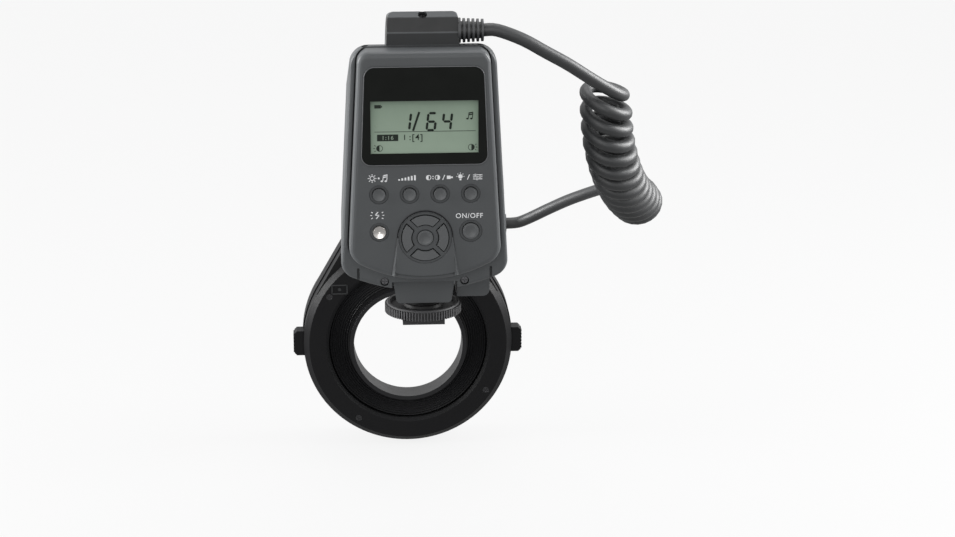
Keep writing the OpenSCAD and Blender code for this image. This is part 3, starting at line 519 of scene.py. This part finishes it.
def layMarks(name, marks, face, thick, material, body):
    bpy.ops.object.select_all(action="DESELECT")
    for mark in marks:
        mark.select_set(True)
    bpy.context.view_layer.objects.active = marks[0]
    bpy.ops.object.join()
    sheet = bpy.context.object
    bpy.ops.object.transform_apply(location=True, rotation=True, scale=True)
    low = min(corner[1] for corner in sheet.bound_box)
    high = max(corner[1] for corner in sheet.bound_box)
    sheet.scale = (mm, thick / (high - low), mm)
    sheet.location.y = face - thick / 2
    bpy.ops.object.transform_apply(location=True, rotation=True, scale=True)
    sheet.name = name
    sheet.data.materials.clear()
    sheet.data.materials.append(material)
    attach(sheet, body)
    return sheet


# Signs on the display: segment digits, a divider and small signs

displayLook = {
    "digitHeight": 7.4,
    "stroke": 1.05,
    "slant": 0.12,
    "gap": 0.14,
    "batteryRow": 104.3,
    "digitRow": 97.7,
    "divider": 93.3,
    "blockRow": 90.7,
    "lampRow": 86.1,
    "thick": 0.04 * mm,
    "markColour": (0.010, 0.016, 0.011),
    "paleInk": (0.26, 0.33, 0.26),
}

segmentsOf = {"1": "bc", "4": "fgbc", "6": "afgedc"}


def segmentDigit(figure, x, z, width, look):
    high = look["digitHeight"] / 2
    inset = look["gap"] + look["stroke"] / 2
    corner = {"left": x - width / 2, "right": x + width / 2}

    def stroke(x0, z0, x1, z1):
        x0, x1 = x0 + look["slant"] * (z0 - z), x1 + look["slant"] * (z1 - z)
        tips = [disc(*tip, look["stroke"] / 2, corners=4) for tip in ((x0, z0), (x1, z1))]
        return [bar(x0, z0, x1, z1, look["stroke"]), *tips]

    flat = {"a": z + high, "g": z, "d": z - high}
    upright = {"f": ("left", z, z + high), "e": ("left", z - high, z), "b": ("right", z, z + high),
               "c": ("right", z - high, z)}
    marks = []
    for name in segmentsOf[figure]:
        if name in flat:
            marks += stroke(corner["left"] + inset, flat[name], corner["right"] - inset, flat[name])
        else:
            side, low, top = upright[name]
            marks += stroke(corner[side], low + inset, corner[side], top - inset)
    return marks


def displaySigns(look):
    low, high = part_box("lcd_panel")
    z = look["digitRow"]
    marks = segmentDigit("1", -8.1, z, 4.0, look) + [bar(-4.9, z - 4.1, -2.2, z + 4.1, 0.95)]
    marks += segmentDigit("6", 3.0, z - 0.2, 3.4, look) + segmentDigit("4", 9.6, z - 0.2, 3.4, look)
    marks += [bar(-21.3, look["divider"], 21.8, look["divider"], 0.22)]
    z = look["blockRow"]
    marks += [bar(-20.2, z, -11.2, z, 2.9), words("1", -8.5, z, 2.3), words(":[4]", -3.6, z, 2.6, 1.15)]
    marks += notes(18.6, 98.6, 2.7)
    z = look["batteryRow"]
    marks += [bar(-21.2, z, -18.4, z, 1.5), bar(-18.3, z, -17.9, z, 0.8)]
    z = look["lampRow"]
    for x, side in ((-19.2, -1), (19.9, 1)):
        marks += halfFilled(x, z, 1.3, 0.24, side)
        marks += rays(x, z, 1.9, 2.6, 0.3, [90 - side * 90 + d for d in (-32, 0, 32)])
    layMarks("display_signs", marks, low.y, look["thick"], markMaterial("display_ink", look["markColour"], 0.3), "unit")
    layMarks("block_sign", [words("1:16", -15.7, look["blockRow"] - 0.1, 1.7, 1.25)], low.y - look["thick"],
             look["thick"], markMaterial("pale_ink", look["paleInk"], 0.3), "unit")


displaySigns(displayLook)
print("display signs laid")


# White signs above the keys: pictures and ON/OFF only

labelLook = {
    "panelY": -30 * mm,
    "thick": 0.03 * mm,
    "upperRow": 73.0,
    "lowerRow": 56.6,
    "markColour": (0.78, 0.79, 0.80),
}


def keyLabels(look):
    z = look["upperRow"]
    # Light, dot and notes
    marks = [hoop(-22.5, z, 0.9, 0.3)] + rays(-22.5, z, 1.3, 1.85, 0.36, range(0, 360, 45))
    marks += [disc(-19.7, z, 0.42)] + notes(-18.0, z - 1.3, 2.7)
    # Rising bars
    marks += [bar(-11.0 + 1.35 * i, z - 1.1, -11.0 + 1.35 * i, z - 0.5 + 0.34 * i, 0.75) for i in range(6)]
    # Two half-filled rounds, stroke and cell
    for x, side in ((1.6, -1), (5.4, 1)):
        marks += halfFilled(x, z, 1.0, 0.26, side)
    marks += [disc(3.5, z + 0.5, 0.26), disc(3.5, z - 0.5, 0.26)]
    marks += [bar(7.6, z - 1.1, 8.5, z + 1.1, 0.36), bar(9.4, z, 11.0, z, 1.5), bar(11.0, z, 12.0, z, 0.7)]
    # Lamp, stroke and sliders
    marks += [disc(15.2, z + 0.3, 0.95), bar(14.75, z - 1.1, 15.65, z - 1.1, 0.5)]
    marks += rays(15.2, z + 0.3, 1.3, 1.75, 0.3, (0, 45, 90, 135, 180))
    marks += [bar(18.2, z - 1.1, 19.1, z + 1.1, 0.36)]
    marks += [bar(20.6, z + d, 24.6, z + d, 0.32) for d in (-0.9, 0.0, 0.9)]
    marks += [disc(x, z + d, 0.5) for x, d in ((21.6, 0.9), (23.6, 0.0), (22.2, -0.9))]
    z = look["lowerRow"]
    # Bolt with rays
    marks += [bar(-21.4, z + 0.2, -20.1, z + 1.5, 0.42), bar(-21.4, z + 0.1, -19.6, z + 0.1, 0.4),
              bar(-20.9, z - 1.5, -19.7, z + 0.1, 0.42)]
    marks += rays(-20.5, z, 2.2, 3.0, 0.34, (150, 180, 210, -30, 0, 30))
    marks += [words("ON/OFF", 19.0, z - 0.85, 2.1, 1.12)]
    layMarks("key_labels", marks, look["panelY"], look["thick"], markMaterial("label_ink", look["markColour"], 0.4), "unit")


keyLabels(labelLook)
print("key labels laid")


# Thin raised rim round the display window; its shape is modelled and its lighter colour is a painted highlight

rimLook = {
    "width": (54.6, 51.0),  # lower and upper edge
    "heights": (78.5, 121.5),
    "corner": 4.5,
    "cornerSteps": 10,
    "line": 0.42,
    "bevelShare": 0.4,  # of the line's width
    "panelY": -30 * mm,
    "rise": 0.3 * mm,
    # About twice as light as the case plastic: a painted highlight along the rim
    "colour": (0.13, 0.135, 0.14),
}


def windowRim(look):
    bpy.ops.object.select_all(action="DESELECT")
    bpy.ops.mesh.primitive_plane_add(size=1, rotation=(math.pi / 2, 0, 0))
    rim = bpy.context.object
    for vertex in rim.data.vertices:
        upper = vertex.co.y > 0
        vertex.co = (vertex.co.x * look["width"][upper], look["heights"][upper], -0.5)
    bpy.ops.object.mode_set(mode="EDIT")
    bpy.ops.mesh.select_all(action="SELECT")
    bpy.ops.mesh.bevel(offset=look["corner"], segments=look["cornerSteps"], affect="VERTICES")
    bpy.ops.mesh.inset(thickness=look["line"])
    bpy.ops.mesh.delete(type="FACE")
    bpy.ops.mesh.select_all(action="SELECT")
    bpy.ops.mesh.extrude_region_move(TRANSFORM_OT_translate={"value": (0, -1, 0)})
    bpy.ops.mesh.select_all(action="SELECT")
    bpy.ops.mesh.normals_make_consistent(inside=False)
    bpy.ops.object.mode_set(mode="OBJECT")
    sheet = layMarks("window_rim", [rim], look["panelY"], look["rise"],
                     mouldedPlastic("rim_plastic", look["colour"], 0.36), "unit")
    bpy.ops.object.modifier_add(type="BEVEL")
    sheet.modifiers["Bevel"].width = look["line"] * mm * look["bevelShare"]
    sheet.modifiers["Bevel"].segments = 3
    bpy.ops.object.modifier_apply(modifier="Bevel")
    bpy.ops.object.shade_smooth_by_angle(angle=math.radians(40))


windowRim(rimLook)
print("window rim laid")


# Sloped flanks of the tongue round the direction pad, and the dark line that follows its arch, a sheet of painted
# shade for its groove

tongueLook = {
    "padZ": 46.4,
    "halfWidths": (11.6, 13.35),  # beside the pad and at the lower end
    "lowZ": 29.4,
    "slope": (1.15, 0.45),  # at the lower end and beside the pad
    "panelY": -30 * mm,
    "line": 0.5,
    "tailLength": 6,  # the line's ends, down from the arch
    "tailSpread": (0.1, 1.05),  # outwards, at their upper and lower end
    "thick": 0.03 * mm,
    # The line's colour: painted shade of the groove along the arch
    "markColour": (0.006, 0.006, 0.007),
}


def tongueEdge(look):
    half, low = look["halfWidths"]
    z = look["padZ"]
    fall = z - look["lowZ"]
    lean = math.atan2(low - half, fall)
    marks = []
    for side in (-1, 1):
        bpy.ops.mesh.primitive_cone_add(vertices=4, radius1=look["slope"][0], radius2=look["slope"][1],
                                        depth=math.hypot(low - half, fall),
                                        location=(side * (half + low) / 2, 0, z - fall / 2),
                                        rotation=(0, -side * lean, 0))
        marks.append(bpy.context.object)
    thick = 2 * look["slope"][0] * mm
    edge = layMarks("tongue_edge", marks, look["panelY"] + thick / 2, thick, finishes["case_plastic"], "unit")


def tongueLine(look):
    half = look["halfWidths"][0] + look["line"] / 2
    z = look["padZ"]
    near, far = look["tailSpread"]
    marks = [keepSide(hoop(0, z, half, look["line"]), 0, z, (0, 0, 1))]
    marks += [bar(side * (half + near), z, side * (half + far), z - look["tailLength"], look["line"] * 0.6)
              for side in (-1, 1)]
    layMarks("tongue_line", marks, look["panelY"], look["thick"], markMaterial("groove_shade", look["markColour"], 0.5), "unit")


tongueEdge(tongueLook)
tongueLine(tongueLook)
print("tongue edge and line laid")


# Raised frame sign on the ring's rear face, coloured lighter than the ring

ringSignLook = {
    "faceY": 118 * mm,
    "middle": (-36.7, -22.9),
    "size": (7.4, 4.4),
    "line": 0.6,
    "dot": 0.8,
    "thick": 0.25 * mm,
    "colour": (0.030, 0.031, 0.032),
}


def ringSign(look):
    x, z = look["middle"]
    wide, high = (side / 2 for side in look["size"])
    line = look["line"]
    marks = [bar(x - wide, z + d * high, x + wide, z + d * high, line) for d in (-1, 1)]
    marks += [bar(x + d * wide, z - high, x + d * wide, z + high, line) for d in (-1, 1)]
    marks += [disc(x, z, look["dot"])]
    layMarks("ring_sign", marks, look["faceY"], look["thick"], markMaterial("pale_relief", look["colour"], 0.4), "unit")


ringSign(ringSignLook)
print("ring sign laid")


# Studio: pale floor, soft lamps, even sky

studio = {
    "floorZ": cadBox[0].z - 0.5 * mm,
    "floorSize": 6.0,
    "floorColour": (0.004, 0.004, 0.004),
    "floorGlow": (0.86, 0.86, 0.86),  # as the camera sees it
    "floorBounce": (0.46, 0.46, 0.46),  # as the part is lit by it
    "skyColour": (0.94, 0.94, 0.945, 1),
    "skyStrength": 0.32,  # as light on the part
    "lamps": [  # place, size in metres, watts
        ((-0.15, -1.05, 0.40), 0.8, 5.0),
        ((0.82, 0.12, 0.38), 0.5, 17.0),
        ((-0.85, 0.05, 0.30), 0.5, 16.0),
        ((0.0, 0.35, 1.0), 0.7, 4.0),
    ],
    "aim": (0, 0.03, 0.03),
}


def layFloor(look):
    bpy.ops.object.select_all(action="DESELECT")
    bpy.ops.mesh.primitive_plane_add(size=look["floorSize"], location=(0, 0, look["floorZ"]))
    floor = bpy.context.object
    floor.name = "studio_floor"
    material, tree, place = startMaterial("studio_floor")
    cloud = noise(tree, place, 3.0)
    tone = blendColours(tree, cloud, look["floorColour"], lighter(look["floorColour"], 1.03))
    path = addNode(tree, "ShaderNodeLightPath", output="Is Camera Ray")
    glow = blendColours(tree, path, look["floorBounce"], look["floorGlow"])
    closeMaterial(tree, principled(tree, tone, 0.8, {"Emission Color": glow, "Emission Strength": 1.0}))
    floor.data.materials.append(material)


def hangLamps(look):
    for i, (spot, size, power) in enumerate(look["lamps"]):
        bpy.ops.object.light_add(type="AREA", location=spot)
        lamp = bpy.context.object
        lamp.name = f"soft_lamp_{i + 1}"
        lamp.data.size = size
        lamp.data.energy = power
        aim = Vector(look["aim"]) - Vector(spot)
        lamp.rotation_euler = aim.to_track_quat("-Z", "Y").to_euler()


# The sky shines fully where it is seen, mirrored or seen through, and less as light
def spreadSky(look):
    world = bpy.data.worlds.new("studio_sky")
    bpy.context.scene.world = world
    world.use_nodes = True
    sky = world.node_tree
    sky.nodes.clear()
    camera, glossy, through = (addNode(sky, "ShaderNodeLightPath", output=f"Is {kind} Ray")
                               for kind in ("Camera", "Glossy", "Transmission"))
    strength = (camera + glossy + through) * (1 - look["skyStrength"]) + look["skyStrength"]
    closeSky = sky.nodes.new("ShaderNodeOutputWorld")
    back = addNode(sky, "ShaderNodeBackground", None, {"Color": look["skyColour"], "Strength": strength})
    sky.links.new(back.socket, closeSky.inputs["Surface"])


layFloor(studio)
hangLamps(studio)
spreadSky(studio)
bpy.context.scene.view_settings.view_transform = "Standard"
print("studio set")
